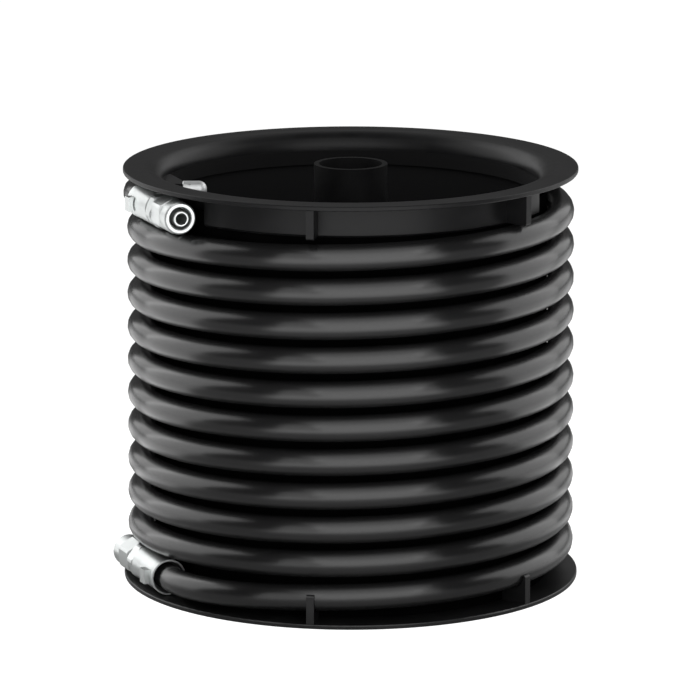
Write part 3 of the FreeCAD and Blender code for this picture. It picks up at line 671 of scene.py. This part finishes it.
@dataclass(frozen=True)
class Axis:
    """Line of an end fitting: the nut's face and the way that its nose points.

    Attributes:
        end: which end of the hose it holds.
        distance: from the hub axis to the line, in millimetres.
        azimuth: degrees from the front to the line's nearest point to the hub.
        reach: from that point to the nut's face.
        height: height of the nut's face.
        rise: degrees that the nose points upwards.
    """

    end: End
    distance: float
    azimuth: float
    reach: float
    height: float
    rise: float

    @property
    def outward(self) -> Vector:
        """Unit vector away from the hub."""
        angle = math.radians(self.azimuth)
        return Vector((math.sin(angle), -math.cos(angle), 0.0))

    @property
    def along(self) -> Vector:
        """Level unit vector round the hub, away from the hose."""
        way = self.outward
        return Vector((-way.y, way.x, 0.0)) * self.end.value

    @property
    def nose(self) -> Vector:
        """Unit vector along the fitting, away from the hose."""
        rise = math.radians(self.rise)
        return self.along * math.cos(rise) + Vector((0, 0, math.sin(rise)))

    def station(self, back: float) -> Vector:
        """Find a point on the fitting's line.

        Args:
            back: distance behind the nut's face in millimetres.

        Returns:
            The point in metres.
        """
        height = Vector((0, 0, self.height))
        face = self.outward * self.distance + self.along * self.reach + height
        return (face - self.nose * back) * MM


TOP_AXIS = Axis(End.TOP, 108.94, -71.0, 48.43, 207.4, 1.5)
BOTTOM_AXIS = Axis(End.BOTTOM, 111.28, -68.0, 42.98, 12.3, 0.0)


@dataclass
class Hose:
    """The wound hose: one smooth line through both fittings, in millimetres and degrees.

    Attributes:
        diameter: outside diameter.
        real_length: length along its middle.
        seat: how far behind the nut's face the hose ends, inside its ferrule.
        mouth: how far behind the nut's face it leaves the ferrule.
        coil_radius: radius of the winding's middle line at the front of its first pass.
        coil_draw: how much the radius falls in a turn.
        pitch: how much the winding rises in a turn.
        front_height: height of its first pass at the front.
        points_per_turn: control points in a turn.
        first: azimuth of the winding's first control point.
        last: azimuth of its last one.
        bottom_lead: azimuth, radius and height of the points from the lower ferrule.
        top_lead: the same to the upper ferrule.
        facets: the tube has twice as many sides and four more.
        steps: pieces of the line between two control points.
    """

    diameter: float = 13.8
    real_length: float = 7731.7
    seat: float = 33.0
    mouth: float = 64.0
    coil_radius: float = 111.8
    coil_draw: float = 0.08
    pitch: float = 17.8
    front_height: float = 32.86
    points_per_turn: int = 24
    first: float = -352.5
    last: float = 3427.5
    bottom_lead: tuple[tuple[float, float, float], ...] = (
        (-406.38, 117.81, 12.36), (-389.62, 117.4, 13.29), (-368.25, 113.16, 14.66),
    )
    top_lead: tuple[tuple[float, float, float], ...] = (
        (3444.5, 113.05, 203.05), (3461.75, 114.39, 203.65), (3481.25, 117.52, 203.98),
        (3504.0, 116.49, 204.88),
    )
    facets: int = 6
    steps: int = 4

    def route(self) -> list[Vector]:
        """Control points of the line, from the lower fitting to the upper one.

        Returns:
            The points in metres.
        """
        step = TURN / self.points_per_turn
        overshoot = 1.0 / math.cos(math.radians(step / 2))
        count = int(round((self.last - self.first) / step)) + 1
        coil = []
        for number in range(count):
            azimuth = self.first + step * number
            height = self.front_height + self.pitch * azimuth / TURN
            radius = self.coil_radius - self.coil_draw * azimuth / TURN
            coil.append(polar(azimuth, radius * overshoot, height))
        backs = (self.seat, (self.seat + self.mouth) / 2, self.mouth)
        start = [BOTTOM_AXIS.station(back) for back in backs]
        end = [TOP_AXIS.station(back) for back in reversed(backs)]
        lead_in = [polar(*place) for place in self.bottom_lead]
        lead_out = [polar(*place) for place in self.top_lead]
        return start + lead_in + coil + lead_out + end

    def build(self, material: bpy.types.Material, fittings: Iterable[bpy.types.Object]) -> None:
        """Args:
            material: the jacket's material.
            fittings: the pieces at its two ends; not used.
        """
        curve = bpy.data.curves.new("hose_line", "CURVE")
        curve.dimensions = "3D"
        curve.bevel_depth = self.diameter / 2 * MM
        curve.bevel_resolution = self.facets
        curve.resolution_u = self.steps
        curve.use_fill_caps = True
        spline = curve.splines.new("NURBS")
        points = self.route()
        spline.points.add(len(points) - 1)
        for point, place in zip(spline.points, points):
            point.co = (*place, 1.0)
        spline.order_u = 3
        spline.use_endpoint_u = True
        made = add_object("hose_line", curve)
        dress(made, material)
        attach(made, REEL_BODY)
        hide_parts("hose")
        tuple(BOTTOM_AXIS.station(self.seat))
        log.info("hose of %.0f mm", self.real_length)


@dataclass
class Reel:
    """The CAD nodes that keep their shape and get a finish.

    Attributes:
        nodes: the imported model's nodes by their names.
        finishes: the finishes of the reel's own nodes and the nozzle.
    """

    nodes: dict[str, bpy.types.Object]
    finishes: dict[str, Finish] = field(default_factory=lambda: {
        "top_flange": TOP_MOULDED,
        "bottom_flange": BASE_MOULDED,
        "drum_core": DRUM,
        "hub_tube": HUB,
        "flange_screws": SCREW,
        "nozzle": NOZZLE,
    })

    def build(self) -> None:
        """Dress every node of the reel and its fittings."""
        made: dict[str, bpy.types.Material] = {}
        for name, node in self.nodes.items():
            finish = self.finish_of(name)
            if finish is None:
                continue
            if finish.name not in made:
                made[finish.name] = finish.material()
            dress(node, made[finish.name])
            log.info("dressed %s with %s", name, finish.name)

    def finish_of(self, name: str) -> Finish | None:
        """Choose the finish of a node.

        Args:
            name: the node's name.

        Returns:
            The finish, or None for the hose, which a smooth line replaces.
        """
        if name in self.finishes:
            return self.finishes[name]
        if name.endswith("nose_seal"):
            return RUBBER
        if name.endswith("retaining_wire"):
            return STEEL
        return ZINC if name.startswith(END_NAMES) else None

    def fittings(self) -> list[bpy.types.Object]:
        """The nodes of the couplings at the hose's two ends."""
        return [node for name, node in self.nodes.items()
                if name.startswith(END_NAMES) and name not in self.finishes]


def main() -> None:
    """Build the scene in order."""
    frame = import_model()
    Camera().build()
    Studio().build()
    reel = Reel(frame["nodes"])
    reel.build()
    Hose().build(JACKET.material(), reel.fittings())


if __name__ == "__main__":
    logging.basicConfig(level=logging.INFO, format="%(name)s: %(message)s")
    main()
